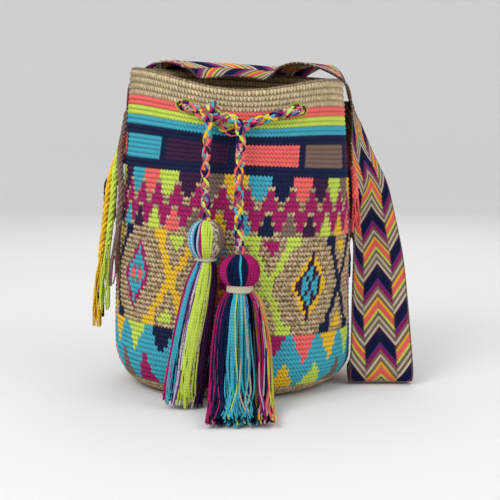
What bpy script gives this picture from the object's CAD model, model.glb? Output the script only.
"""Wayuu mochila bag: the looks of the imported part, laid out as an add-on.

Angles go round the bag from the front, towards +X, and rows are counted up from the flat base's edge.
"""

import bisect
import math
import random

import bpy
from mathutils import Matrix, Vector, noise


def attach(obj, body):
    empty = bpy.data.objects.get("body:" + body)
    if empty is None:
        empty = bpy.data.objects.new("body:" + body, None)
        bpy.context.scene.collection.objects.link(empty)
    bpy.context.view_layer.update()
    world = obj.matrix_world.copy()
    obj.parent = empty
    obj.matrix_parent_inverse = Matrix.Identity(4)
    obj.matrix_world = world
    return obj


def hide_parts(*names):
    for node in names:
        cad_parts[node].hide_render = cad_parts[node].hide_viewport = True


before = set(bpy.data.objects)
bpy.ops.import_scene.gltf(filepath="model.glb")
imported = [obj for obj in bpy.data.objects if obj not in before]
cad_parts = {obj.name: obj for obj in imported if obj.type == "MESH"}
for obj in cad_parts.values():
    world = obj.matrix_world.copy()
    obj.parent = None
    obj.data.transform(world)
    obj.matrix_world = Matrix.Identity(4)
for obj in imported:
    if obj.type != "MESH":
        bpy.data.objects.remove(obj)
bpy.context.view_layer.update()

bl_info = {
    "name": "Mochila bag",
    "version": (1, 0, 0),
    "blender": (4, 5, 0),
    "location": "View3D > Sidebar > Mochila",
    "description": "Builds a crocheted mochila bag with its strap, drawstring, tassels and fringes",
    "category": "Add Mesh",
}

# The bag's shape
BAG_HEIGHT = 0.323
BELLY_RADIUS = 0.125
MOUTH_RADIUS = 0.111
CORNER = 0.040
WALL = 0.0045
TAPER_POWER = 1.6
RIDGE_DEPTH = 0.0009
SIDE_LEAN = 0.005
SIDE_SLOPE = 0.056
SLOPE_START = 0.05
SLOUCH_SHARE = 0.72
FRONT_DIP = 0.018
DIP_SHARPNESS = 4.0
BACK_LIFT = 0.008
DIP_ANGLE = 0.0
RUN_DENT = 0.003
EYELET_SHARE = 0.915
EYELET_TALL = 0.0135
EYELET_ANGLES = (-27.0, 35.0, 142.0, 168.0, 192.0, 218.0)
# Angle and width of each eyelet, the front two pulled together by the cord
STRETCHED_EYELETS = ((-24.8, 0.0225), (32.4, 0.0225), (142.0, 0.032), (168.0, 0.032),
                     (192.0, 0.032), (218.0, 0.032))

# Crochet
STITCHES = 192
ROW = 0.00485
RIM_FIRST_ROW = 66
RIM_ROW = 0.00643
DRIFT = 0.28
DRIFT_ROW = 48.0
WALL_ROWS = 70
STITCH_TURN = 360.0 / STITCHES
FINE = STITCHES * 2

# Strap
STRAP_WIDTH = 0.066
STRAP_CLEARANCE = 0.002
RIB_SLANT = 0.0225
OVER_RIM_RADIUS = 0.013
RAMP_SLOPE = 28.0
RAMP_LENGTH = 0.014
DROOP_LENGTH = 0.022
DROOP_SLOPE = 75.0
CROSSING_LIFT = 0.0045
CROSSING_STATION = 10.6
CROSSING_REACH = 3.0

# Drawstring, tassels and fringes
CORD_WIDTH = 0.0095
CROSSING_HALF_ANGLE = 8.0
LEFT_HEAD = (-0.0227, 0.181)
RIGHT_HEAD = (0.0094, 0.149)
LEFT_CLEAR = 0.0195
RIGHT_CLEAR = 0.0225
LEFT_HEAD_SIZE = (0.034, 0.036)
RIGHT_HEAD_SIZE = (0.038, 0.031)
HEAD_DEPTH = 0.034
NECK_SHARE = 0.50
NECK = 8
STRAND = 0.00080
FRINGE_WIDTH = 0.0075

YARNS = {
    "cream": (0.66, 0.58, 0.42),
    "beige": (0.47, 0.37, 0.24),
    "coral": (0.95, 0.15, 0.14),
    "lime": (0.60, 0.76, 0.10),
    "turquoise": (0.055, 0.42, 0.55),
    "navy": (0.004, 0.011, 0.055),
    "purple": (0.045, 0.010, 0.055),
    "violet": (0.16, 0.03, 0.20),
    "taupe": (0.23, 0.145, 0.12),
    "magenta": (0.40, 0.012, 0.13),
    "yellow": (0.90, 0.55, 0.03),
    "lilac": (0.55, 0.50, 0.66),
    "rim": (0.84, 0.67, 0.42),
}

# Each cord: yarn, angle at its top and low end, how far it swings out, height of its top, length,
# and how far its end stands out
LEFT_FRINGE = (
    ("taupe", -98.5, -69.5, 0.0066, 0.2795, 0.180, 0.000),
    ("lime", -104.5, -77.0, 0.0105, 0.2795, 0.208, 0.003),
    ("yellow", -110.5, -86.5, 0.0150, 0.2795, 0.230, 0.005),
    ("beige", -116.5, -93.5, 0.0100, 0.2795, 0.120, 0.003),
    ("purple", -122.5, -99.0, 0.0210, 0.2795, 0.225, 0.003),
    ("navy", -128.5, -105.0, 0.0240, 0.2795, 0.100, 0.003),
)
RIGHT_FRINGE = (
    ("coral", 104.5, 80.0, 0.0075, 0.262, 0.095, 0.0),
    ("taupe", 110.0, 100.0, 0.0062, 0.262, 0.110, 0.0),
    ("navy", 115.5, 106.0, 0.0062, 0.262, 0.150, 0.0),
    ("purple", 121.0, 112.5, 0.0062, 0.262, 0.120, 0.0),
)


# Shape helpers

def smooth(value):
    """Ease from 0 to 1."""
    value = min(1.0, max(0.0, value))
    return value * value * (3.0 - 2.0 * value)


def between(start, end, share):
    """A value between two others."""
    return start + (end - start) * share


def wall_radius(height):
    """Outer radius of the side wall at a height, before the bag settles."""
    if height < CORNER:
        drop = CORNER - height
        return BELLY_RADIUS - CORNER + math.sqrt(max(0.0, CORNER ** 2 - drop ** 2))
    share = (height - CORNER) / (BAG_HEIGHT - CORNER)
    return BELLY_RADIUS - (BELLY_RADIUS - MOUTH_RADIUS) * min(1.2, share) ** TAPER_POWER


def settle(angle, radius, height):
    """Place a point of the evenly round bag where the soft bag holds it."""
    turn = math.radians(angle)
    x = radius * math.sin(turn)
    y = -radius * math.cos(turn)
    upper = min(1.3, max(0.0, (height / BAG_HEIGHT - SLOUCH_SHARE) / (1.0 - SLOUCH_SHARE)))
    facing = math.cos(math.radians(angle - DIP_ANGLE))
    sag = -FRONT_DIP * facing ** DIP_SHARPNESS if facing > 0.0 else BACK_LIFT * -facing
    run_middle = 0.5 * (EYELET_ANGLES[0] + EYELET_ANGLES[1])
    off_run = (angle - run_middle + 180.0) % 360.0 - 180.0
    pull = smooth(1.0 - abs(off_run) / 45.0)
    near_run = math.exp(-((height / BAG_HEIGHT - EYELET_SHARE) / 0.05) ** 2)
    inward = 1.0 - RUN_DENT * pull * near_run / BELLY_RADIUS
    lean = SIDE_LEAN * smooth((height / BAG_HEIGHT - 0.25) / 0.4)
    slope = -SIDE_SLOPE * x * smooth(height / SLOPE_START)
    return Vector((x * inward + lean, y * inward, height + sag * upper + slope))


def beside_wall(angle, out, height):
    """A point at a distance out from the wall."""
    return settle(angle, wall_radius(height) + out, height)


def outward_from(angle):
    """Level direction away from the bag's middle."""
    turn = math.radians(angle)
    return Vector((math.sin(turn), -math.cos(turn), 0.0))


def spline_point(points, index, share):
    """A place on the smooth curve through points, after one of them."""
    last = len(points) - 1
    before = points[max(0, index - 1)]
    start = points[index]
    end = points[min(last, index + 1)]
    after = points[min(last, index + 2)]
    square = share * share
    return (start * 2.0 + (end - before) * share + (before * 2.0 - start * 5.0 + end * 4.0 - after) * square
            + (start * 3.0 - before - end * 3.0 + after) * square * share) * 0.5


def smooth_route(points, steps=24):
    """Many points on the smooth curve through a few."""
    route = []
    for index in range(len(points) - 1):
        for step in range(steps):
            route.append(spline_point(points, index, step / steps))
    route.append(points[-1].copy())
    return route


class Path:
    """A smooth line through points, read by its length, with a steady frame across it."""

    def __init__(self, points, steps=24):
        self.points = smooth_route(points, steps)
        self.reach = [0.0]
        for here, there in zip(self.points, self.points[1:]):
            self.reach.append(self.reach[-1] + (there - here).length)
        self.length = self.reach[-1]
        self.sides = []
        side = Vector((0.0, -1.0, 0.0))
        for index in range(len(self.points)):
            ahead = self.points[min(index + 1, len(self.points) - 1)] - self.points[max(0, index - 1)]
            ahead.normalize()
            side = side - ahead * side.dot(ahead)
            if side.length < 1e-4:
                side = ahead.orthogonal()
            side.normalize()
            self.sides.append((side.copy(), ahead.cross(side)))
        self.place = 0

    def at(self, distance):
        """The point and the two directions across the line at a distance along it."""
        distance = min(self.length, max(0.0, distance))
        if self.reach[self.place] > distance:
            self.place = 0
        while self.place < len(self.reach) - 2 and self.reach[self.place + 1] < distance:
            self.place += 1
        index = self.place
        share = (distance - self.reach[index]) / max(1e-9, self.reach[index + 1] - self.reach[index])
        side, other = self.sides[index]
        return self.points[index].lerp(self.points[index + 1], share), side, other

    def even(self, spacing):
        """Points about evenly spaced."""
        count = max(2, round(self.length / spacing))
        return [self.at(self.length * step / count)[0] for step in range(count + 1)]


# Pattern of the crochet

def nearest(angle, start, step):
    """Which repeat an angle lies in, and how many stitches off its middle."""
    index = round((angle - start) / step)
    return index, (angle - start - index * step) / STITCH_TURN


LOW_UP = ("coral", "purple", "navy", "yellow", "lime", "taupe", "magenta", "coral", "yellow", "navy", "lime",
          "purple", "coral", "taupe", "yellow", "magenta", "lime", "navy", "coral", "taupe", "magenta")
LOW_DOWN = ("navy", "taupe", "purple", "magenta", "coral", "yellow", "lime", "purple", "taupe", "navy", "coral",
            "magenta", "lime", "yellow", "purple", "taupe", "navy", "magenta", "coral", "yellow", "lime")
HIGH_UP = ("turquoise", "navy", "taupe", "purple", "lime", "yellow", "coral", "turquoise", "navy", "taupe",
           "purple", "lime", "yellow", "coral", "turquoise", "navy", "taupe", "lime", "yellow", "purple",
           "coral", "turquoise", "navy", "lime", "taupe", "navy", "turquoise", "purple", "lime", "coral",
           "taupe", "yellow")
HIGH_DOWN = ("yellow", "turquoise", "navy", "coral", "purple", "lime", "taupe", "yellow", "turquoise", "navy",
             "coral", "purple", "lime", "taupe", "yellow", "turquoise", "navy", "coral", "purple", "lime",
             "taupe", "yellow", "turquoise", "navy", "coral", "lime", "purple", "turquoise", "coral", "lime",
             "purple", "taupe")
BLOCKS = ("coral", "taupe", "purple", "turquoise", "yellow", "magenta", "navy", "coral", "turquoise", "purple")
CROSSES = (("yellow", "lime"), ("lime", "magenta"), ("navy", "yellow"), ("coral", "turquoise"),
           ("yellow", "lime"), ("lime", "magenta"), ("magenta", "yellow"), ("navy", "yellow"))


def diamond(kind, across, up):
    """Colour inside a diamond, or None outside it. across and up are in stitches and rows from its middle."""
    span = abs(across) / (5.8 if kind == 2 else 5.3) + abs(up) / 7.6
    if span > 1.0:
        return None
    edge, ring, fill, dots = (("magenta", "turquoise", "coral", "taupe"),
                              ("turquoise", "coral", "magenta", "yellow"),
                              ("yellow", "purple", "turquoise", "purple"))[kind]
    if span > 0.76 and not (kind == 2 and abs(up) > 5.8):
        return edge
    if span > (0.56 if kind == 2 else 0.48):
        return ring
    if kind == 2:
        return dots if abs(abs(across) - abs(up) * 0.6) < 0.55 else fill
    if abs(across) < 0.5 or abs(up) < 0.5:
        return ring
    return dots if abs(abs(across) - 1.2) < 0.5 and abs(abs(up) - 1.5) < 0.6 else fill


def middle_band(angle, row):
    """Yarn of the middle band: crosses, and diamonds between them."""
    index, off = nearest(angle, -23.6, 45.0)
    up = row + 0.5 - 29.0
    colour, inner = CROSSES[index % 8]
    if abs(abs(off) - abs(up) * 0.62) <= 1.05 or (abs(up) > 8.0 and 3.4 < abs(off) < 7.4):
        return colour
    if 5.6 < abs(up) < 9.0 and abs(off) <= (abs(up) - 5.0) * 0.55:
        return inner
    index, off = nearest(angle, -1.1, 45.0)
    return diamond((1, 2, 0)[index % 3] if -3 < index < 3 else index % 3, off, up) or "beige"


def high_band(angle, row):
    """Yarn of the high band: two rows of triangles with a zigzag between them."""
    index, off = nearest(angle, 0.0, 11.25)
    level = row + 0.5 - 45.6 - max(0.0, abs(off) - 0.6) * 2.0
    if level >= 0.0:
        return HIGH_DOWN[index % 32]
    if level >= -6.4:
        return "magenta" if -5.4 <= level < -1.2 else "beige"
    index, off = nearest(angle, 5.625, 11.25)
    return HIGH_UP[index % 32]


def pattern(angle, row):
    """Name of the yarn of the stitch in a row. The angle is the one where its column crosses DRIFT_ROW."""
    if row < 7:
        return "beige"
    if row < 13:
        index, off = nearest(angle, -16.5, 360.0 / 21.0)
        return LOW_UP[index % 21] if abs(off) <= (13.2 - row) * 0.56 else "turquoise"
    if row < 19:
        index, off = nearest(angle, -24.4, 360.0 / 21.0)
        return LOW_DOWN[index % 21] if abs(off) <= (row - 12.2) * 0.58 else "turquoise"
    if row < 39:
        return middle_band(angle, row)
    if row < 51:
        return high_band(angle, row)
    if row < 53 or 58 <= row < 60:
        return "navy"
    if row < 58:
        index, off = nearest(angle, -4.1, 36.0)
        if abs(off) <= 1.0:
            return "navy"
        return BLOCKS[math.floor((angle + 4.1) / 36.0) % 10]
    if row < 62:
        return "turquoise"
    if row < 64:
        return "lime"
    return "coral" if row < 66 else "rim"


# Meshes

def mesh_from(name, points, faces, tints, uvs):
    """A mesh with a colour for each face and a map for each corner."""
    mesh = bpy.data.meshes.new(name)
    mesh.from_pydata(points, [], faces)
    layer = mesh.color_attributes.new("tint", "FLOAT_COLOR", "CORNER")
    colours = [value for face, tint in zip(faces, tints) for value in tint * len(face)]
    layer.data.foreach_set("color", colours)
    chart = mesh.uv_layers.new(name="UVMap")
    chart.data.foreach_set("uv", [value for corners in uvs for corner in corners for value in corner])
    mesh.shade_smooth()
    return mesh


def yarn_tint(name, shade=1.0):
    """Colour with, in its last number, how mottled the yarn is."""
    mottled = {"beige": 1.0, "rim": 0.62}.get(name, 0.0)
    return (*(value * shade for value in YARNS[name]), mottled)


def beige(_share):
    """The colour of a plain strip of stitches."""
    return yarn_tint("beige")


def row_place(row):
    """Radius, height and outward slope of the outer wall at a row."""
    along = min(row, RIM_FIRST_ROW) * ROW + max(0.0, row - RIM_FIRST_ROW) * RIM_ROW
    arc = CORNER * math.pi / 2.0
    if along < arc:
        turn = along / CORNER
        return (BELLY_RADIUS - CORNER + CORNER * math.sin(turn), CORNER - CORNER * math.cos(turn),
                math.sin(turn), -math.cos(turn))
    height = CORNER + along - arc
    return wall_radius(height), height, 1.0, 0.0


def turn_of(share, row):
    """Angle of a share of a round. Each row is worked a little further round than the last."""
    return share * 360.0 - 180.0 + DRIFT * (row - DRIFT_ROW)


def in_eyelet(angle, height):
    """True if a place on the wall lies in one of the eyelets."""
    level = EYELET_SHARE * BAG_HEIGHT
    for eyelet, width in STRETCHED_EYELETS:
        off = (angle - eyelet + 180.0) % 360.0 - 180.0
        across = math.radians(off) * wall_radius(level) / (width / 2.0)
        if across ** 2 + ((height - level) / (EYELET_TALL / 2.0)) ** 2 < 1.0:
            return True
    return False


class Knit:
    """The crochet's points and faces, worked ring by ring."""

    def __init__(self):
        self.points = []
        self.faces = []
        self.tints = []
        self.uvs = []

    def face(self, corners, tint, chart):
        """Add one face with its colour and the map of its corners."""
        self.faces.append(corners)
        self.tints.append(tint)
        self.uvs.append(chart)

    def ring(self, count, place_at):
        """Add a ring of points, placed by their share of the round. Gives the number of its first point."""
        start = len(self.points)
        self.points += [place_at(index / count) for index in range(count)]
        return start

    def strip(self, low, high, count, rows, tint, skip=None):
        """Join two rings. tint and skip are functions of the share of the round."""
        for index in range(count):
            share = (index + 0.5) / count
            if skip and skip(share):
                continue
            after = (index + 1) % count
            left = index / count
            right = (index + 1) / count
            self.face((low + index, low + after, high + after, high + index), tint(share),
                      ((left, rows[0]), (right, rows[0]), (right, rows[1]), (left, rows[1])))

    def fan(self, ring, height, up):
        """Close a ring with triangles round a middle point, facing up or down."""
        centre = len(self.points)
        self.points.append(Vector((0.0, 0.0, height)))
        for index in range(STITCHES):
            side = (ring + index, ring + (index + 1) % STITCHES)
            self.face((*(side if up else side[::-1]), centre), yarn_tint("beige"), ((0.0, -0.3),) * 3)


def knit_base(knit):
    """The flat base, worked in rounds. Gives its last ring."""
    rounds = 17
    previous = None
    for step in range(rounds + 1):
        radius = max(0.002, (BELLY_RADIUS - CORNER) * step / rounds)
        lift = 0.0 if step in (0, rounds) else 0.0002 + 0.0006 * (step % 2)
        start = knit.ring(STITCHES, lambda share: settle(turn_of(share, 0.0), radius, lift))
        if previous is None:
            knit.fan(start, 0.0004, False)
        else:
            low = (step - rounds - 1) / WALL_ROWS
            knit.strip(previous, start, STITCHES, (low, low + 1.0 / WALL_ROWS), beige)
        previous = start
    return previous


def stitch_point(share, step, depth):
    """A point of the outer wall. Each stitch has two steps up and two across."""
    level = step / 2.0
    middle = round(share * FINE) % 2 == 1
    if step % 2 == 0:
        shift = (-0.24 if middle else 0.16) if 0 < step < WALL_ROWS * 2 else 0.0
        bulge = -0.45 * depth
    else:
        shift = -0.06 if middle else 0.0
        bulge = (0.62 if middle else 1.0) * depth
    bulge += noise.noise(Vector((share * 55.0, level * 0.9, 1.7))) * 0.0005
    radius, height, out, up = row_place(level + shift)
    return settle(turn_of(share, level), radius + bulge * out, max(0.0001, height + bulge * up))


def stitch_tint(stitch, row):
    """Colour of a stitch of the outer wall, a little lighter or darker than the next."""
    shade = 1.0 + 0.10 * noise.noise(Vector((stitch * 3.7, row * 5.3, 0.5)))
    return yarn_tint(pattern(turn_of((stitch + 0.5) / STITCHES, DRIFT_ROW), row), shade)


def knit_wall(knit, depth):
    """The outer wall with its eyelets left open. Gives its first and last rings."""
    starts = [knit.ring(FINE, lambda share: stitch_point(share, step, depth))
              for step in range(WALL_ROWS * 2 + 1)]
    for step, (low, high) in enumerate(zip(starts, starts[1:])):
        middle = (step + 0.5) / 2.0
        height = row_place(middle)[1]
        tints = [stitch_tint(stitch, step // 2) for stitch in range(STITCHES)]
        skip = (lambda share: in_eyelet(turn_of(share, middle), height)) if 112 < step < 136 else None
        knit.strip(low, high, FINE, (step / 2.0 / WALL_ROWS, (step + 1) / 2.0 / WALL_ROWS),
                   lambda share: tints[int(share * STITCHES)], skip)
    return starts[0], starts[-1]


def knit_join(knit, base, wall):
    """Join the base's edge to the wall's first ring, which has twice its points."""
    for index in range(STITCHES):
        after = (index + 1) % STITCHES
        knit.face((base + index, base + after, wall + (index * 2 + 2) % FINE, wall + index * 2 + 1,
                   wall + index * 2), yarn_tint("beige"), ((0.0, 0.0),) * 5)


def knit_rim(knit, previous):
    """The rim, rolled over to the inside. Gives its last ring."""
    for step in range(1, 5):
        turn = math.pi * step / 4.0

        def rim_point(share):
            """A point of the rim, a little higher between the stitches."""
            swell = WALL / 2.0 + 0.0007 * math.cos(share * STITCHES * 2.0 * math.pi)
            out = MOUTH_RADIUS - WALL / 2.0 + math.cos(turn) * WALL / 2.0
            return settle(turn_of(share, 70.0), out, BAG_HEIGHT + math.sin(turn) * swell * 0.8)

        start = knit.ring(FINE, rim_point)
        knit.strip(previous, start, FINE, (1.0, 1.0 + 1.0 / WALL_ROWS), beige)
        previous = start
    return previous


def knit_lining(knit, previous):
    """The inner wall, a ring a row and coarser below the eyelets, and then the inner floor."""
    count = FINE
    for row in (*range(WALL_ROWS - 1, 61, -1), *range(60, -1, -1)):
        if row == 60:
            count = STITCHES
            fine = previous
            previous = knit.ring(count, lambda share: knit.points[fine + round(share * FINE)].copy())
        radius, height, out, up = row_place(row)
        middle = row_place(row + 0.5)[1]
        start = knit.ring(count, lambda share: settle(turn_of(share, 70.0), radius - WALL * out,
                                                      height - WALL * up))
        knit.strip(previous, start, count, ((row + 1) / WALL_ROWS, row / WALL_ROWS),
                   lambda share: yarn_tint(pattern(turn_of(share, DRIFT_ROW), row), 0.8),
                   (lambda share: in_eyelet(turn_of(share, 70.0), middle)) if 61 < row < 67 else None)
        previous = start
    for step in range(6, 0, -1):
        radius = (BELLY_RADIUS - CORNER) * step / 7.0
        start = knit.ring(STITCHES, lambda share: settle(turn_of(share, 70.0), radius, WALL))
        knit.strip(previous, start, STITCHES, (0.0, -0.05), beige)
        previous = start
    knit.fan(previous, WALL, True)


def body_mesh(depth):
    """The crocheted wall, base and lining of stitches as one mesh."""
    knit = Knit()
    base = knit_base(knit)
    first, last = knit_wall(knit, depth)
    knit_join(knit, base, first)
    knit_lining(knit, knit_rim(knit, last))
    return mesh_from("crochet_body", knit.points, knit.faces, knit.tints, knit.uvs)


# Yarn lines, made into tubes by Geometry Nodes

class Lines:
    """Many open lines with a colour and a half width at each point."""

    def __init__(self):
        self.points = []
        self.edges = []
        self.tints = []
        self.widths = []

    def add(self, points, tint, width):
        """Add one line. tint and width are values, or functions of the share along the line."""
        start = len(self.points)
        last = len(points) - 1
        for index, point in enumerate(points):
            share = index / last
            self.points.append(point)
            self.tints.extend(tint(share) if callable(tint) else tint)
            self.widths.append(width(share) if callable(width) else width)
        self.edges.extend((start + index, start + index + 1) for index in range(last))

    def mesh(self, name):
        """The lines as a mesh of edges."""
        mesh = bpy.data.meshes.new(name)
        mesh.from_pydata(self.points, self.edges, [])
        mesh.attributes.new("tint", "FLOAT_COLOR", "POINT").data.foreach_set("color", self.tints)
        mesh.attributes.new("width", "FLOAT", "POINT").data.foreach_set("value", self.widths)
        return mesh


TUBE_NODES = {
    "entry": "NodeGroupInput",
    "leave": "NodeGroupOutput",
    "curve": "GeometryNodeMeshToCurve",
    "width": "GeometryNodeInputNamedAttribute",
    "spline": "GeometryNodeSplineParameter",
    "along": "GeometryNodeStoreNamedAttribute",
    "circle": "GeometryNodeCurvePrimitiveCircle",
    "around": "GeometryNodeStoreNamedAttribute",
    "tube": "GeometryNodeCurveToMesh",
    "soft": "GeometryNodeSetShadeSmooth",
    "real": "GeometryNodeRealizeInstances",
    "paint": "GeometryNodeSetMaterial",
}
# Each link: node and output it leaves, node and input it enters
TUBE_LINKS = (
    ("entry", "Lines", "curve", "Mesh"), ("curve", "Curve", "along", "Geometry"),
    ("spline", "Length", "along", "Value"), ("entry", "Sides", "circle", "Resolution"),
    ("circle", "Curve", "around", "Geometry"), ("spline", "Factor", "around", "Value"),
    ("along", "Geometry", "tube", "Curve"), ("around", "Geometry", "tube", "Profile Curve"),
    ("width", "Attribute", "tube", "Scale"), ("tube", "Mesh", "soft", "Geometry"),
    ("soft", "Geometry", "real", "Geometry"), ("real", "Geometry", "paint", "Geometry"),
    ("entry", "Yarn", "paint", "Material"), ("paint", "Geometry", "leave", "Mesh"),
)


def yarn_nodes():
    """Node group that turns lines into round yarn with caps."""
    group = bpy.data.node_groups.get("yarn_tubes")
    if group:
        return group
    group = bpy.data.node_groups.new("yarn_tubes", "GeometryNodeTree")
    for name, kind in (("Lines", "Geometry"), ("Sides", "Int"), ("Yarn", "Material")):
        group.interface.new_socket(name, in_out="INPUT", socket_type="NodeSocket" + kind)
    group.interface.new_socket("Mesh", in_out="OUTPUT", socket_type="NodeSocketGeometry")
    nodes = {name: group.nodes.new(kind) for name, kind in TUBE_NODES.items()}
    for name in ("width", "along", "around"):
        nodes[name].data_type = "FLOAT"
        nodes[name].inputs["Name"].default_value = name
    nodes["circle"].inputs["Radius"].default_value = 1.0
    nodes["tube"].inputs["Fill Caps"].default_value = True
    for source, output, target, entry in TUBE_LINKS:
        group.links.new(nodes[source].outputs[output], nodes[target].inputs[entry])
    return group


def socket_id(group, name):
    """Name under which a modifier keeps an input of its node group."""
    for item in group.interface.items_tree:
        if item.item_type == "SOCKET" and item.in_out == "INPUT" and item.name == name:
            return item.identifier
    raise RuntimeError("no input named " + name)


def tubes(name, lines, sides, material):
    """One plain mesh object of yarn tubes."""
    group = yarn_nodes()
    holder = place(name + "_lines", lines.mesh(name + "_lines"))
    modifier = holder.modifiers.new("yarn", "NODES")
    modifier.node_group = group
    modifier[socket_id(group, "Sides")] = sides
    modifier[socket_id(group, "Yarn")] = material
    graph = bpy.context.evaluated_depsgraph_get()
    mesh = bpy.data.meshes.new_from_object(holder.evaluated_get(graph), depsgraph=graph)
    bpy.data.objects.remove(holder)
    mesh.name = name
    return place(name, mesh)


def place(name, data):
    """Put a mesh, light or camera into the scene."""
    item = bpy.data.objects.new(name, data)
    bpy.context.scene.collection.objects.link(item)
    return item


# Materials

class Maths:
    """Shader numbers and colours with plain operators."""

    def __init__(self, tree, socket):
        self.tree = tree
        self.socket = socket

    def _join(self, other, operation):
        node = self.tree.nodes.new("ShaderNodeMath")
        node.operation = operation
        for index, value in enumerate((self, other)):
            if isinstance(value, Maths):
                self.tree.links.new(value.socket, node.inputs[index])
            elif value is not None:
                node.inputs[index].default_value = value
        return Maths(self.tree, node.outputs[0])

    def __add__(self, other):
        return self._join(other, "ADD")

    def __sub__(self, other):
        return self._join(other, "SUBTRACT")

    def __mul__(self, other):
        return self._join(other, "MULTIPLY")

    def apply(self, operation, other=None):
        """Any other operation on one or two numbers."""
        return self._join(other, operation)

    def tinted(self, other, share, blend="MIX"):
        """A mix of this colour and another."""
        node = self.tree.nodes.new("ShaderNodeMix")
        node.data_type = "RGBA"
        node.blend_type = blend
        for index, value in ((0, share), (6, self), (7, other)):
            if isinstance(value, Maths):
                self.tree.links.new(value.socket, node.inputs[index])
            else:
                node.inputs[index].default_value = value
        return Maths(self.tree, node.outputs[2])

    def node(self, kind, output, settings=(), **inputs):
        """Any other node, its inputs given by name."""
        node = self.tree.nodes.new(kind)
        for name, value in dict(settings).items():
            setattr(node, name, value)
        for name, value in inputs.items():
            socket = node.inputs[name.replace("_", " ")]
            if isinstance(value, Maths):
                self.tree.links.new(value.socket, socket)
            else:
                socket.default_value = value
        return Maths(self.tree, node.outputs[output])


def ranged(value, low, high, start=0.0, end=1.0):
    """A number taken from one range to another and held at its ends."""
    return value.node("ShaderNodeMapRange", "Result", Value=value, From_Min=low, From_Max=high,
                      To_Min=start, To_Max=end)


def yarn_shader(name):
    """A matt material, with the tint of its yarn and how mottled that is."""
    material = bpy.data.materials.new(name)
    material.use_nodes = True
    tree = material.node_tree
    shader = tree.nodes["Principled BSDF"]
    shader.inputs["Roughness"].default_value = 0.9
    shader.inputs["Specular IOR Level"].default_value = 0.12
    tint = Maths(tree, None).node("ShaderNodeAttribute", "Color", {"attribute_name": "tint"})
    return material, tint, Maths(tree, tint.socket.node.outputs["Alpha"])


def fill_shader(colour, shade, height, strength, distance):
    """Set the shaded colour and the bump of a material."""
    tree = colour.tree
    inputs = tree.nodes["Principled BSDF"].inputs
    grey = shade.node("ShaderNodeCombineColor", "Color", Red=shade, Green=shade, Blue=shade)
    bump = shade.node("ShaderNodeBump", "Normal", Height=height, Strength=strength, Distance=distance)
    tree.links.new(colour.tinted(grey, 1.0, "MULTIPLY").socket, inputs["Base Color"])
    tree.links.new(bump.socket, inputs["Normal"])


def solid(start, colour):
    """A colour that can be mixed."""
    mixed = start.node("ShaderNodeRGB", "Color")
    mixed.socket.default_value = (*colour, 1.0)
    return mixed


def crochet_material():
    """Colours from the stitches, mottled where the yarn is, with the loops of each stitch as bump."""
    material, tint, mottle = yarn_shader("crochet_yarn")
    chart = tint.node("ShaderNodeUVMap", "UV", {"uv_map": "UVMap"})
    parts = tint.node("ShaderNodeSeparateXYZ", "X", Vector=chart)
    across = parts * float(STITCHES)
    up = Maths(tint.tree, parts.socket.node.outputs["Y"]) * float(WALL_ROWS)
    grid = tint.node("ShaderNodeCombineXYZ", "Vector", X=across, Y=up)
    streak = tint.node("ShaderNodeCombineXYZ", "Vector", X=across * 0.85, Y=up.apply("FLOOR") * 3.7 + up * 0.8)
    speck = tint.node("ShaderNodeTexNoise", "Fac", Vector=streak, Scale=1.3, Detail=3.0, Roughness=0.65)
    fine = tint.node("ShaderNodeTexNoise", "Fac", Vector=grid, Scale=9.0, Detail=2.0)
    lift = up.apply("FRACT")
    groove = ranged((lift - 0.5).apply("ABSOLUTE"), 0.5, 0.26)
    thread = ranged((lift - 0.62).apply("ABSOLUTE"), 0.22, 0.05, end=0.45) * ranged(fine, 0.46, 0.56)
    melange = solid(tint, (0.70, 0.52, 0.30)).tinted((0.20, 0.12, 0.055, 1.0), ranged(speck, 0.40, 0.60))
    melange = melange.tinted((0.07, 0.04, 0.02, 1.0), groove * -0.62 + 0.62)
    melange = melange.tinted((0.92, 0.76, 0.50, 1.0), thread)
    plain = tint.tinted((1.0, 1.0, 1.0, 1.0), ranged(fine, 0.5, 0.9, end=0.10))
    leg = (across.apply("FRACT") - 0.5).apply("ABSOLUTE")
    off = (leg - (lift * 0.16 + 0.17)) * 5.5
    gap = ranged((off * off) * -1.0 + 1.0, -1.6, 0.4, 0.35)
    post = ranged(leg, 0.5, 0.26, 0.1)
    gap = (gap + (post - gap) * up.apply("GREATER_THAN", float(RIM_FIRST_ROW))) * groove
    ply = ((across * 2.0 + up * 3.0) * 6.283).apply("SINE") * 0.06
    fill_shader(plain.tinted(melange, mottle), ranged(gap, 0.0, 0.6, 0.30), gap + ply + fine * 0.35,
                0.9, 0.0013)
    return material


def yarn_material(name, twist, depth):
    """Twisted yarn: colour from the lines, plies as bump."""
    material, tint, mottle = yarn_shader(name)
    along = tint.node("ShaderNodeAttribute", "Fac", {"attribute_name": "along"})
    around = tint.node("ShaderNodeAttribute", "Fac", {"attribute_name": "around"})
    where = tint.node("ShaderNodeTexCoord", "Object")
    fine = tint.node("ShaderNodeTexNoise", "Fac", Vector=where, Scale=900.0, Detail=2.0)
    speck = tint.node("ShaderNodeTexNoise", "Fac", Vector=where, Scale=260.0, Detail=1.0)
    melange = solid(tint, (0.60, 0.51, 0.36)).tinted((0.19, 0.13, 0.085, 1.0), ranged(speck, 0.46, 0.58))
    wave = ((along * twist + around * 2.0) * 6.283).apply("SINE")
    fill_shader(tint.tinted(melange, mottle), ranged(wave + fine * 0.6, -1.0, 0.6, 0.66), wave + fine * 0.8,
                0.7, depth)
    return material


def plain_material(name, colour, roughness):
    """One even colour."""
    material = bpy.data.materials.new(name)
    material.use_nodes = True
    shader = material.node_tree.nodes["Principled BSDF"]
    shader.inputs["Base Color"].default_value = (*colour, 1.0)
    shader.inputs["Roughness"].default_value = roughness
    return material


# Strap

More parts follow.
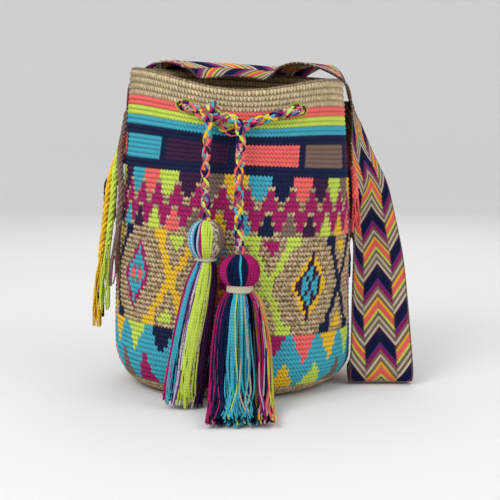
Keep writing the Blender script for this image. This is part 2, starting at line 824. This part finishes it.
def over_rim(along):
    """Distance moved inwards and upwards for a length laid over the wall's edge."""
    arc = OVER_RIM_RADIUS * math.radians(90.0 + RAMP_SLOPE)
    if along <= 0.0:
        return 0.0, along
    if along <= arc:
        turn = along / OVER_RIM_RADIUS
        return OVER_RIM_RADIUS * (1.0 - math.cos(turn)), OVER_RIM_RADIUS * math.sin(turn)
    inward, up = over_rim(arc)
    left = along - arc
    flat = min(left, RAMP_LENGTH)
    slope = math.radians(RAMP_SLOPE)
    inward += flat * math.cos(slope)
    up -= flat * math.sin(slope)
    left -= flat
    steps = 12
    for step in range(steps):
        drooped = smooth((step + 0.5) * left / steps / DROOP_LENGTH)
        slope = math.radians(between(RAMP_SLOPE, DROOP_SLOPE, drooped))
        inward += left / steps * math.cos(slope)
        up -= left / steps * math.sin(slope)
    return inward, up


def draped_station(angle, along, heading, columns):
    """Points across the strap where it lies on the wall and over the rim."""
    turn = math.radians(heading)
    points = []
    for column in columns:
        side = column * STRAP_WIDTH / 2.0
        here = angle + math.degrees(side * math.cos(turn) / MOUTH_RADIUS)
        laid = along + side * math.sin(turn)
        inward, up = over_rim(laid)
        foot = BAG_HEIGHT - WALL / 2.0
        level = foot + min(0.0, laid)
        rise = up if laid > 0.0 else 0.0
        wall = beside_wall(here, STRAP_CLEARANCE + 0.002 + RIDGE_DEPTH + 0.0006, level)
        points.append(wall - outward_from(here) * inward + Vector((0.0, 0.0, rise)))
    return points


def level_station(middle, yaw, columns):
    """Points across the strap where it hangs free."""
    turn = math.radians(yaw)
    across = Vector((math.cos(turn), math.sin(turn), 0.0))
    return [middle + across * column * STRAP_WIDTH / 2.0 for column in columns]


def clear_of_wall(point, spare):
    """Move a point off the wall and rim, if it lies too near."""
    height = point.z
    for _ in range(4):
        lean = SIDE_LEAN * smooth((height / BAG_HEIGHT - 0.25) / 0.4)
        angle = math.degrees(math.atan2(point.x - lean, -point.y))
        height += point.z - settle(angle, wall_radius(min(height, BAG_HEIGHT)), height).z
    foot = BAG_HEIGHT - WALL / 2.0
    sideways = math.hypot(point.x - lean, point.y) - (wall_radius(min(height, foot)) - WALL / 2.0)
    above = max(0.0, height - foot)
    need = WALL / 2.0 + RIDGE_DEPTH + 0.0026 + spare
    distance = math.hypot(sideways, above)
    if distance >= need:
        return point
    push = need / max(distance, 1e-6) - 1.0
    return point + outward_from(angle) * (sideways * push) + Vector((0.0, 0.0, above * push))


STRAP_GRID = [step / 4.0 - 1.0 for step in range(9)]


def strap_columns():
    """Smooth lines along the strap at nine places across it."""
    stations = []
    for angle, along, heading in (
            (-116.0, -0.040, 0.0), (-116.0, -0.026, 0.0), (-117.0, -0.010, -8.0), (-121.0, 0.006, -28.0),
            (-129.0, 0.020, -52.0), (-140.0, 0.026, -74.0), (-155.0, 0.024, -86.0), (-172.0, 0.020, -90.0),
            (-190.0, 0.019, -90.0), (-204.0, 0.020, -90.0)):
        stations.append(draped_station(angle, along, heading, STRAP_GRID))
    for angle, share in ((-212.0, 0.25), (-221.0, 0.70)):
        draped = draped_station(angle, 0.020, -90.0, STRAP_GRID)
        flat = level_station(beside_wall(angle + 360.0, -0.010, 1.048 * BAG_HEIGHT), angle + 270.0, STRAP_GRID)
        stations.append([point.lerp(other, share) for point, other in zip(draped, flat)])

    def free(rows):
        """Add stations that hang beside the wall."""
        for angle, out, share, yaw in rows:
            stations.append(level_station(beside_wall(angle, out, share * BAG_HEIGHT), yaw, STRAP_GRID))

    free(((130.0, 0.000, 1.048, 55.0), (121.0, 0.010, 1.035, 68.0), (113.0, 0.018, 0.995, 84.0),
          (108.0, 0.018, 0.94, 86.0), (104.0, 0.020, 0.86, 76.0), (102.0, 0.0225, 0.77, 63.0),
          (102.0, 0.0310, 0.67, 52.0), (101.0, 0.0300, 0.57, 35.0), (90.0, 0.0305, 0.43, 25.0),
          (83.0, 0.0320, 0.28, 11.0), (77.5, 0.0350, 0.14, 2.0)))
    middle = beside_wall(75.5, 0.037, CORNER)
    for height, back in ((0.017, 0.0), (0.0055, 0.004), (0.0029, 0.014), (0.0055, 0.025), (0.017, 0.030)):
        stations.append(level_station(Vector((middle.x, middle.y + back, height)), 0.0, STRAP_GRID))
    free(((92.0, 0.033, 0.155, 28.0), (104.0, 0.034, 0.30, 62.0), (112.0, 0.025, 0.44, 84.0),
          (118.0, 0.0185, 0.58, 104.0), (121.0, 0.013, 0.70, 116.0), (121.5, 0.013, 0.80, 120.0),
          (121.0, 0.0145, 0.875, 120.0),
          (120.0, 0.0145, 0.915, 120.0), (120.0, 0.009, 0.93, 120.0), (120.0, 0.0045, 0.915, 120.0),
          (120.0, 0.0038, 0.885, 120.0), (120.0, 0.0038, 0.83, 120.0)))
    columns = []
    for index in range(len(STRAP_GRID)):
        route = smooth_route([station[index] for station in stations])
        column = []
        for place_on, point in enumerate(route):
            off = abs(place_on / 24.0 - CROSSING_STATION)
            spare = STRAP_CLEARANCE + CROSSING_LIFT * smooth(1.0 - off / CROSSING_REACH)
            column.append(clear_of_wall(point, spare))
        columns.append(column)
    return columns


STRAP_COLOURS = ("yellow", "coral", "coral", "lime", "taupe", "cream", "taupe", "cream", "purple",
                 "navy", "navy", "navy", "violet", "magenta", "taupe", "cream", "taupe")


class Band:
    """The strap's surface, read by a place across it, from -1 to 1, and a distance along it."""

    def __init__(self, columns):
        self.columns = columns
        self.reach = [0.0]
        for here, there in zip(columns[4], columns[4][1:]):
            self.reach.append(self.reach[-1] + (there - here).length)
        self.length = self.reach[-1]

    def at(self, across, distance):
        """The point at a place across and a distance along."""
        distance = min(self.length, max(0.0, distance))
        high = min(len(self.reach) - 1, max(1, bisect.bisect_right(self.reach, distance)))
        low = high - 1
        share = (distance - self.reach[low]) / max(1e-9, self.reach[high] - self.reach[low])
        where = (across + 1.0) * 4.0
        left = min(7, int(where))
        first, second = (column[low].lerp(column[high], share) for column in self.columns[left:left + 2])
        return first.lerp(second, where - left)


def rib_points(band, rib, column, pitch):
    """One slanted rib in one of the four columns."""
    start = -1.0 + column * 0.5
    points = []
    for step in range(6):
        share = step / 5.0
        lean = share if column % 2 == 0 else 1.0 - share
        distance = min(band.length - 0.001, max(0.001, rib * pitch + RIB_SLANT * lean))
        across = min(1.0, max(-1.0, between(start - 0.014, start + 0.514, share)))
        points.append(band.at(across, distance))
    return points


def strap_lines(band, pitch):
    """Slanted ribs in four columns that meet in chevrons, and a line along each edge."""
    lines = Lines()
    for rib in range(-4, int((band.length + RIB_SLANT) / pitch) + 4):
        for column in range(4):
            points = rib_points(band, rib, column, pitch)
            if (points[0] - points[-1]).length < 0.004:
                continue
            shift = 8 if column in (0, 3) else 0
            colour = STRAP_COLOURS[(rib + shift) % len(STRAP_COLOURS)]
            tone = 1.0 + 0.22 * noise.noise(Vector((rib * 1.7, column * 3.1, 0.2)))
            lines.add(points, yarn_tint(colour, tone),
                      lambda share: 0.00138 * (0.84 + 0.16 * math.sin(share * math.pi)))
    for across in (-0.98, 0.98):
        edge = [band.at(across, band.length * step / 360.0) for step in range(361)]
        lines.add(edge, yarn_tint("taupe", 0.6), 0.0012)
    return lines


def band_mesh(band):
    """The thin closed web of the strap that the ribs are worked round."""
    grid = [[band.at(across, band.length * step / 300.0) for across in STRAP_GRID] for step in range(301)]
    rows = len(grid)
    width = len(grid[0])
    points = []
    for side in (0.0003, -0.0003):
        for row in range(rows):
            for index in range(width):
                along = grid[min(rows - 1, row + 1)][index] - grid[max(0, row - 1)][index]
                across = grid[row][min(width - 1, index + 1)] - grid[row][max(0, index - 1)]
                points.append(grid[row][index] + along.cross(across).normalized() * side)
    back = rows * width
    faces = []
    for row in range(rows - 1):
        for first in range(row * width, row * width + width - 1):
            face = (first, first + 1, first + width + 1, first + width)
            faces.append(face)
            faces.append(tuple(back + corner for corner in reversed(face)))
    edge = [*range(width), *range(width * 2 - 1, back, width), *range(back - 2, back - width - 1, -1),
            *range(back - width * 2, 0, -width)]
    for here, there in zip(edge, edge[1:] + edge[:1]):
        faces.append((there, here, back + here, back + there))
    tint = yarn_tint("taupe", 0.6)
    return mesh_from("woven_strap", points, faces, [tint] * len(faces), [[(0.0, 0.0)] * 4] * len(faces))


# Cords

def front_point(across, clear, height):
    """A point in front of the wall."""
    level = max(height, CORNER)
    angle = math.degrees(math.asin(across / wall_radius(level)))
    wall = beside_wall(angle, 0.0, level)
    return Vector((across, wall.y - clear, height))


def drawstring_points():
    """From one tassel's head, through all eyelets, to the other's."""
    height = EYELET_SHARE * BAG_HEIGHT
    half = 0.0045
    outside = half + 0.002 + RIDGE_DEPTH
    inside = -WALL - half - 0.002
    start = EYELET_ANGLES[0] + CROSSING_HALF_ANGLE
    end = EYELET_ANGLES[1] - CROSSING_HALF_ANGLE - 360.0
    crossings = sorted((angle if angle <= start else angle - 360.0 for angle in EYELET_ANGLES), reverse=True)
    ring = []
    for step in range(85):
        angle = between(start, end, step / 84)
        out = outside
        for index, crossing in enumerate(crossings):
            passed = smooth(0.5 + (crossing - angle) / (2.0 * CROSSING_HALF_ANGLE))
            out = between(out, inside if index % 2 == 0 else outside, passed)
        ring.append(beside_wall(angle, out, height))
    near = outside
    far = near + 0.011
    left = [front_point(LEFT_HEAD[0], LEFT_CLEAR, LEFT_HEAD[1] - 0.034),
            front_point(LEFT_HEAD[0], LEFT_CLEAR, LEFT_HEAD[1] - 0.012),
            front_point(LEFT_HEAD[0], LEFT_CLEAR, LEFT_HEAD[1] + 0.012),
            front_point(-0.0235, far, 0.225), front_point(-0.0215, far, 0.255),
            front_point(-0.0200, far + 0.0015, 0.276), front_point(-0.0175, near + 0.0065, 0.2905),
            front_point(-0.0145, near, 0.2865), front_point(-0.0080, near, 0.2700),
            front_point(0.0060, near + 0.0005, 0.2655), front_point(0.0220, near, 0.2740)]
    right = [front_point(-0.0290, near, 0.2830), front_point(-0.0150, far - 0.0005, 0.2780),
             front_point(-0.0030, far, 0.2790), front_point(0.0070, far + 0.0005, 0.2740),
             front_point(0.0105, far + 0.0005, 0.2600), front_point(0.0085, far - 0.001, 0.225),
             front_point(0.0085, far, 0.185), front_point(RIGHT_HEAD[0], RIGHT_CLEAR, RIGHT_HEAD[1] + 0.012),
             front_point(RIGHT_HEAD[0], RIGHT_CLEAR, RIGHT_HEAD[1] - 0.010),
             front_point(RIGHT_HEAD[0], RIGHT_CLEAR, RIGHT_HEAD[1] - 0.029)]
    return left + list(reversed(ring)) + right


BRAIDS = (("yellow", "coral", "beige"), ("turquoise", "beige", "violet"),
          ("magenta", "coral", "navy"), ("taupe", "purple", "lime"))


def braid_lines(path):
    """Four strands, two turning each way, passing over and under, each of three yarns laid together."""
    lines = Lines()
    pitch = 0.030
    count = round(path.length / 0.0016)
    for strand, yarns in enumerate(BRAIDS):
        sign = 1.0 if strand % 2 == 0 else -1.0
        for number, colour in enumerate(yarns):
            points = []
            for step in range(count + 1):
                distance = path.length * step / count
                turn = distance / pitch * 2.0 * math.pi
                angle = sign * turn + strand // 2 * math.pi
                weave = sign * math.sin(turn * 2.0)
                roll = turn * 0.31 + number * math.pi / 1.5
                spread = angle + 0.38 * math.cos(roll)
                radius = 0.00195 + 0.00060 * weave + 0.0008 * math.sin(roll)
                middle, side, other = path.at(distance)
                points.append(middle + side * math.cos(spread) * radius + other * math.sin(spread) * radius)
            lines.add(points, yarn_tint(colour), 0.00168)
    return lines


def fringe_points(top_angle, low_angle, low_out, top, length, fan, swing):
    """A cord that swings forward and out as it falls."""
    points = []
    for step in range(10):
        drop = length * step / 9
        swung = smooth(drop / swing)
        out = between(0.00375 + RIDGE_DEPTH + 0.0003, low_out, swung)
        out += fan * smooth(step / 9)
        points.append(beside_wall(between(top_angle, low_angle, swung), out, top - drop))
    return points


def fringe_lines(path, colour, seed):
    """A three-ply twisted cord whose last part has come undone."""
    lines = Lines()
    rng = random.Random(seed)
    frayed = path.length * 0.30
    whole = path.length - frayed
    count = round(whole / 0.0018)
    tints = [yarn_tint(colour, shade) for shade in (1.0, 1.12, 0.9)]
    for ply in range(3):
        points = []
        for step in range(count + 1):
            distance = whole * step / count
            angle = distance / 0.021 * 2.0 * math.pi + ply * 2.0 * math.pi / 3.0
            middle, side, other = path.at(distance)
            points.append(middle + (side * math.cos(angle) + other * math.sin(angle)) * 0.00180)
        lines.add(points, tints[ply], 0.00188)
    for hair in range(17):
        angle = rng.random() * 2.0 * math.pi
        reach = rng.uniform(0.5, 1.0)
        wave = rng.uniform(0.4, 1.4)
        points = []
        span = 0.004 + frayed * (1.0 if hair < 9 else rng.uniform(0.75, 1.0))
        for step in range(9):
            share = step / 8.0
            middle, side, other = path.at(whole - 0.004 + span * share)
            spread = between(0.0024, 0.0058, smooth(share * 1.3)) * reach
            turn = angle + wave * share + 0.3 * math.sin(share * 9.0 + seed + hair)
            points.append(middle + (side * math.cos(turn) + other * math.sin(turn)) * spread)
        name = "coral" if colour == "taupe" and hair % 5 == 0 else colour
        lines.add(points, yarn_tint(name, rng.uniform(0.85, 1.15)), 0.00078)
    return lines


# Tassels

def tassel_stations(left):
    """Middle and half sizes down a tassel, from the head's top to the skirt's end."""
    head, clear = (LEFT_HEAD, LEFT_CLEAR) if left else (RIGHT_HEAD, RIGHT_CLEAR)
    width, tall = LEFT_HEAD_SIZE if left else RIGHT_HEAD_SIZE
    deep = HEAD_DEPTH / 2.0
    stations = []
    for share, size in ((0.0, 0.26), (0.05, 0.55), (0.14, 0.78), (0.28, 0.94), (0.46, 1.0), (0.64, 0.97),
                        (0.80, 0.84), (0.91, 0.64), (1.0, NECK_SHARE)):
        middle = front_point(head[0], clear, head[1] - tall * share)
        stations.append((middle, width / 2.0 * size, deep * size))
    if left:
        for height, across, half_width, half_depth in (
                (0.1385, -0.0235, 0.0110, 0.0105), (0.122, -0.0270, 0.0150, 0.0130),
                (0.095, -0.0325, 0.0172, 0.0140), (0.060, -0.0385, 0.0187, 0.0145),
                (0.025, -0.0435, 0.0200, 0.0138), (0.004, -0.0465, 0.0205, 0.0125)):
            stations.append((front_point(across, LEFT_CLEAR - 0.0015, height), half_width, half_depth))
    else:
        for forward, height, half_width, half_depth in (
                (0.0200, 0.1095, 0.0180, 0.0125), (0.0205, 0.094, 0.0242, 0.0150),
                (0.0205, 0.065, 0.0288, 0.0150), (0.0235, 0.038, 0.0305, 0.0135),
                (0.0330, 0.018, 0.0315, 0.0110), (0.0500, 0.0098, 0.0320, 0.0088),
                (0.0720, 0.0078, 0.0325, 0.0070), (0.0900, 0.0062, 0.0330, 0.0052)):
            stations.append((Vector((0.0105, -BELLY_RADIUS - forward, height)), half_width, half_depth))
    return stations


# Each band of yarn and the place across the tassel where it ends
LEFT_HEAD_YARNS = ((-0.66, "turquoise"), (-0.54, "navy"), (-0.44, "lilac"), (-0.32, "magenta"),
                   (0.44, "lime"), (0.84, "beige"), (1.1, "taupe"))
LEFT_SKIRT_YARNS = ((-0.82, "magenta"), (-0.64, "turquoise"), (-0.52, "navy"), (-0.40, "violet"),
                    (-0.30, "lilac"), (-0.20, "beige"), (0.50, "lime"), (0.66, "beige"), (1.1, "purple"))
RIGHT_HEAD_YARNS = ((-0.60, "magenta"), (-0.02, "navy"), (0.10, "turquoise"), (0.42, "navy"), (1.1, "magenta"))
RIGHT_SKIRT_YARNS = ((-0.84, "magenta"), (-0.48, "navy"), (-0.34, "turquoise"), (-0.28, "lime"),
                     (-0.10, "turquoise"), (-0.04, "cream"), (0.10, "turquoise"), (0.15, "cream"),
                     (0.30, "turquoise"), (0.50, "navy"), (0.58, "yellow"), (0.68, "magenta"),
                     (0.76, "lilac"), (0.86, "navy"), (0.94, "lime"), (1.1, "coral"))


def from_bands(bands, across):
    """Yarn of the band in which a place across the tassel lies."""
    for limit, name in bands:
        if across < limit:
            return name
    return bands[-1][1]


def tassel_point(stations, index, turn, depth, slip=0.0):
    """A place on or in the tassel at one of its stations."""
    middle, half_width, half_depth = stations[index]
    before = stations[max(0, index - 1)][0]
    after = stations[min(len(stations) - 1, index + 1)][0]
    along = (after - before).normalized()
    across = Vector((1.0, 0.0, 0.0))
    across = (across - along * across.dot(along)).normalized()
    forward = along.cross(across)
    point = middle + across * (math.cos(turn) * (half_width - STRAND) * depth)
    point += forward * (math.sin(turn) * (half_depth - STRAND) * depth) + along * slip
    point.z = max(point.z, STRAND + 0.0005)
    return point


def head_strands(lines, stations, left, rng):
    """Strands laid over the head, down to the neck."""
    bands = LEFT_HEAD_YARNS if left else RIGHT_HEAD_YARNS
    for strand in range(46):
        turn = strand / 46 * 2.0 * math.pi
        points = [tassel_point(stations, index, turn + 0.05 * math.sin(index * 0.9 + strand), 1.0)
                  for index in range(NECK + 1)]
        name = from_bands(bands, math.cos(turn) * 0.999)
        if name == "turquoise" and left and strand % 3 == 0:
            name = "lilac"
        lines.add(smooth_route(points, 3), yarn_tint(name, rng.uniform(0.92, 1.08)),
                  lambda share: between(0.00135, 0.0009, smooth((share - 0.75) * 4.0)))


def skirt_strands(lines, stations, left, count, rng):
    """Loose strands from the neck down, cut to unlike lengths."""
    bands = LEFT_SKIRT_YARNS if left else RIGHT_SKIRT_YARNS
    last = len(stations) - 1
    for strand in range(count):
        turn = rng.random() * 2.0 * math.pi
        depth = 1.0 if strand % 5 < 3 else math.sqrt(rng.uniform(0.15, 0.85))
        swing = rng.uniform(-0.16, 0.16)
        phase = rng.random() * 6.283
        cut = rng.uniform(-0.016, 0.0015)
        points = []
        for index in range(NECK, last + 1):
            share = (index - NECK) / (last - NECK)
            bend = turn + swing * share + 0.13 * math.sin(share * 9.0 + phase) * share
            slip = cut if index == last else 0.0
            inset = depth * (1.0 - 0.05 * rng.random() * share)
            points.append(tassel_point(stations, index, bend, inset, slip))
        name = from_bands(bands, math.cos(turn) * depth + rng.uniform(-0.12, 0.12))
        lines.add(smooth_route(points, 3), yarn_tint(name, rng.uniform(0.85, 1.12)), STRAND)


def tassel_lines(left, strands, seed):
    """Strands over the head, pinched at the neck and loose below it."""
    lines = Lines()
    rng = random.Random(seed)
    stations = tassel_stations(left)
    head_strands(lines, stations, left, rng)
    skirt_strands(lines, stations, left, strands, rng)
    return lines


def tie_lines(left, turns, width, swell):
    """Yarn wound round a tassel's neck."""
    lines = Lines()
    head, clear = (LEFT_HEAD, LEFT_CLEAR) if left else (RIGHT_HEAD, RIGHT_CLEAR)
    wide, tall = LEFT_HEAD_SIZE if left else RIGHT_HEAD_SIZE
    middle = front_point(head[0], clear, head[1] - tall)
    half_width = wide / 2.0 * NECK_SHARE + width + swell
    half_depth = HEAD_DEPTH / 2.0 * NECK_SHARE + width + swell
    points = []
    steps = int(turns * 28)
    for step in range(steps + 1):
        turn = step / 28.0 * 2.0 * math.pi + 0.4
        drop = (step / steps - 0.5) * width * 1.9 * (turns - 1.0)
        points.append(middle + Vector((math.cos(turn) * half_width, math.sin(turn) * half_depth, -drop)))
    lines.add(points, yarn_tint("cream"), width)
    return lines


def eyelet_lines():
    """Yarn worked round the edge of each eyelet."""
    lines = Lines()
    level = EYELET_SHARE * BAG_HEIGHT
    for angle, width in STRETCHED_EYELETS:
        for layer, out in enumerate((-0.0002, -WALL + 0.0006)):
            points = []
            for step in range(29):
                turn = step / 28.0 * 2.0 * math.pi
                side = math.degrees((width / 2.0 + 0.0010) * math.cos(turn) / wall_radius(level))
                lift = (EYELET_TALL / 2.0 + 0.0010) * math.sin(turn)
                points.append(beside_wall(angle + side, out, level + lift))
            lines.add(points, yarn_tint("coral" if layer else "lime", 0.6), 0.0010)
    return lines


# Pieces

def settings():
    """The sizes set in the sidebar."""
    return bpy.context.scene.mochila_settings


def yarn_of(name, twist, depth):
    """A yarn's material, made once."""
    return bpy.data.materials.get(name) or yarn_material(name, twist, depth)


def stands_for(piece, slot, *nodes):
    """Give a piece its slot and body, and name the solid that it stands for."""
    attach(piece, "root")
    if nodes:
        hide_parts(*nodes)


def hang(piece, path, diameter, far_end, **more):
    """Declare a piece as a limp cord along its path."""
    middle = path.even(0.004)


def make_body():
    """The crocheted bag and the edges of its eyelets."""
    mesh = body_mesh(settings().stitch_depth)
    mesh.materials.append(crochet_material())
    stands_for(place("crochet_body", mesh), "crochet_yarn", "bag_body")
    edges = tubes("eyelet_edges", eyelet_lines(), 6, yarn_of("edge_strands", 300.0, 0.0004))
    stands_for(edges, "crochet_yarn")


def make_strap():
    """The strap's web and the ribs round it, declared as one hung sheet."""
    band = Band(strap_columns())
    material = yarn_of("rib_strands", 300.0, 0.0005)
    ribs = tubes("strap_ribs", strap_lines(band, settings().rib_pitch), 7, material)
    web = band_mesh(band)
    web.materials.append(material)
    strap = place("woven_strap", web)
    for piece in (strap, ribs):
        stands_for(piece, "strap_yarn", "shoulder_strap")


def make_drawstring():
    """The braid through the eyelets, with the tassels at its ends."""
    path = Path(drawstring_points())
    braid = tubes("braided_drawstring", braid_lines(path), 6, yarn_of("cord_strands", 500.0, 0.0003))
    stands_for(braid, "braid_yarn", "drawstring")
    others = ("left_tassel_yarn", "right_tassel_yarn", "left_neck_tie", "right_neck_tie")
    hang(braid, path, CORD_WIDTH, "knot", with_pieces=[name for name in others if name in bpy.data.objects])


def make_tassels():
    """Both tassels, each with the yarn wound round its neck."""
    material = yarn_of("tassel_strands", 330.0, 0.0004)
    tie = yarn_of("tie_strands", 330.0, 0.0004)
    for side, strands, seed, winding in (("left", 230, 11, (2.2, 0.0009, 0.0002)),
                                         ("right", 210, 29, (3.1, 0.0016, 0.0003))):
        left = side == "left"
        tassel = tubes(side + "_tassel_yarn", tassel_lines(left, strands, seed), 5, material)
        stands_for(tassel, "tassel_yarn", side + "_tassel")
        knot = tubes(side + "_neck_tie", tie_lines(left, *winding), 8, tie)
        stands_for(knot, "tie_yarn", side + "_tassel_tie")


def make_fringes():
    """The twisted cords at both of the strap's joins."""
    material = yarn_of("fringe_strands", 260.0, 0.0004)
    for side, cords, swing in (("left", LEFT_FRINGE, 0.085), ("right", RIGHT_FRINGE, 0.055)):
        for number, (colour, *route) in enumerate(cords, 1):
            path = Path(fringe_points(*route, swing))
            node = side + "_fringe_cord_" + str(number)
            cord = tubes(node + "_yarn", fringe_lines(path, colour, number * 7 + len(side)), 7, material)
            stands_for(cord, "fringe_yarn", node)
            hang(cord, path, FRINGE_WIDTH, "bare")


# Stage

def make_floor():
    """A pale floor that rises all round into a backdrop."""
    profile = [(2.6, 0.0)]
    for step in range(1, 41):
        turn = step / 40.0 * math.pi / 2.0
        profile.append((2.6 + 1.2 * math.sin(turn), 1.2 - 1.2 * math.cos(turn)))
    profile.append((3.8, 2.6))
    turns = [side / 48.0 * math.pi for side in range(96)]
    points = [(reach * math.cos(turn), reach * math.sin(turn), rise - 0.0005)
              for reach, rise in profile for turn in turns]
    faces = [tuple(range(96))]
    for level in range(len(profile) - 1):
        for side in range(96):
            first = level * 96 + side
            after = level * 96 + (side + 1) % 96
            faces.append((first, after, after + 96, first + 96))
    mesh = bpy.data.meshes.new("floor")
    mesh.from_pydata(points, [], faces)
    mesh.materials.append(plain_material("floor", (0.74, 0.735, 0.72), 0.9))
    return place("floor", mesh)


def make_lamp(name, spot, energy, size):
    """A soft square light turned to the bag."""
    data = bpy.data.lights.new(name, "AREA")
    data.energy = energy
    data.size = size
    lamp = place(name, data)
    lamp.location = spot
    lamp.rotation_euler = (Vector((0.0, 0.0, 0.15)) - lamp.location).to_track_quat("-Z", "Y").to_euler()
    return lamp


def make_stage():
    """Floor, lights, surrounding light and camera."""
    scene = bpy.context.scene
    scene.view_settings.view_transform = "Standard"
    make_floor()
    make_lamp("key_light", (-1.3, -1.7, 1.9), 44.0, 1.5)
    make_lamp("fill_light", (1.8, -1.2, 1.2), 16.0, 1.8)
    make_lamp("back_light", (0.2, 1.6, 1.7), 9.0, 1.4)
    scene.world = bpy.data.worlds.new("studio")
    scene.world.use_nodes = True
    around = scene.world.node_tree.nodes["Background"].inputs
    around["Color"].default_value = (0.95, 0.96, 1.0, 1.0)
    around["Strength"].default_value = 0.80
    data = bpy.data.cameras.new("camera")
    data.lens = 80.9
    data.sensor_width = 36.0
    camera = place("camera", data)
    camera.location = (0.019, -1.2, 0.267)
    camera.rotation_euler = (math.radians(90.0 - 6.1), 0.0, 0.0)
    scene.camera = camera


# Add-on

class MochilaSettings(bpy.types.PropertyGroup):
    """Sizes that change the look of the yarn."""

    stitch_depth: bpy.props.FloatProperty(name="Stitch depth", description="How far each stitch stands out",
                                          default=0.0011, min=0.0, max=0.003, unit="LENGTH", subtype="DISTANCE")
    rib_pitch: bpy.props.FloatProperty(name="Rib pitch", description="Distance between the strap's ribs",
                                       default=0.00405, min=0.003, max=0.01, unit="LENGTH", subtype="DISTANCE")


class MOCHILA_OT_body(bpy.types.Operator):
    """Build the crocheted bag with its eyelets."""

    bl_idname = "mochila.body"
    bl_label = "Bag body"

    def execute(self, context):
        make_body()
        return {"FINISHED"}


class MOCHILA_OT_strap(bpy.types.Operator):
    """Build the herringbone strap."""

    bl_idname = "mochila.strap"
    bl_label = "Strap"

    def execute(self, context):
        make_strap()
        return {"FINISHED"}


class MOCHILA_OT_tassels(bpy.types.Operator):
    """Build the two tassels and their ties."""

    bl_idname = "mochila.tassels"
    bl_label = "Tassels"

    def execute(self, context):
        make_tassels()
        return {"FINISHED"}


class MOCHILA_OT_drawstring(bpy.types.Operator):
    """Build the braided drawstring."""

    bl_idname = "mochila.drawstring"
    bl_label = "Drawstring"

    def execute(self, context):
        make_drawstring()
        return {"FINISHED"}


class MOCHILA_OT_fringes(bpy.types.Operator):
    """Build the twisted cords at the strap's ends."""

    bl_idname = "mochila.fringes"
    bl_label = "Fringes"

    def execute(self, context):
        make_fringes()
        return {"FINISHED"}


class MOCHILA_OT_stage(bpy.types.Operator):
    """Build the floor, the lights and the camera."""

    bl_idname = "mochila.stage"
    bl_label = "Stage"

    def execute(self, context):
        make_stage()
        return {"FINISHED"}


class MOCHILA_PT_panel(bpy.types.Panel):
    """Buttons for each piece of the bag."""

    bl_idname = "MOCHILA_PT_panel"
    bl_label = "Mochila bag"
    bl_space_type = "VIEW_3D"
    bl_region_type = "UI"
    bl_category = "Mochila"

    def draw(self, context):
        layout = self.layout
        layout.prop(context.scene.mochila_settings, "stitch_depth")
        layout.prop(context.scene.mochila_settings, "rib_pitch")
        for name in ("body", "strap", "tassels", "drawstring", "fringes", "stage"):
            layout.operator("mochila." + name)


CLASSES = (MochilaSettings, MOCHILA_OT_body, MOCHILA_OT_strap, MOCHILA_OT_tassels, MOCHILA_OT_drawstring,
           MOCHILA_OT_fringes, MOCHILA_OT_stage, MOCHILA_PT_panel)


def register():
    for item in CLASSES:
        bpy.utils.register_class(item)
    bpy.types.Scene.mochila_settings = bpy.props.PointerProperty(type=MochilaSettings)


def unregister():
    del bpy.types.Scene.mochila_settings
    for item in reversed(CLASSES):
        bpy.utils.unregister_class(item)


def main():
    """Build every piece and note the sizes."""
    register()
    steps = bpy.ops.mochila
    for step in (steps.body, steps.strap, steps.tassels, steps.drawstring, steps.fringes, steps.stage):
        if step() != {"FINISHED"}:
            raise RuntimeError("a step did not finish")


if __name__ == "__main__":
    main()
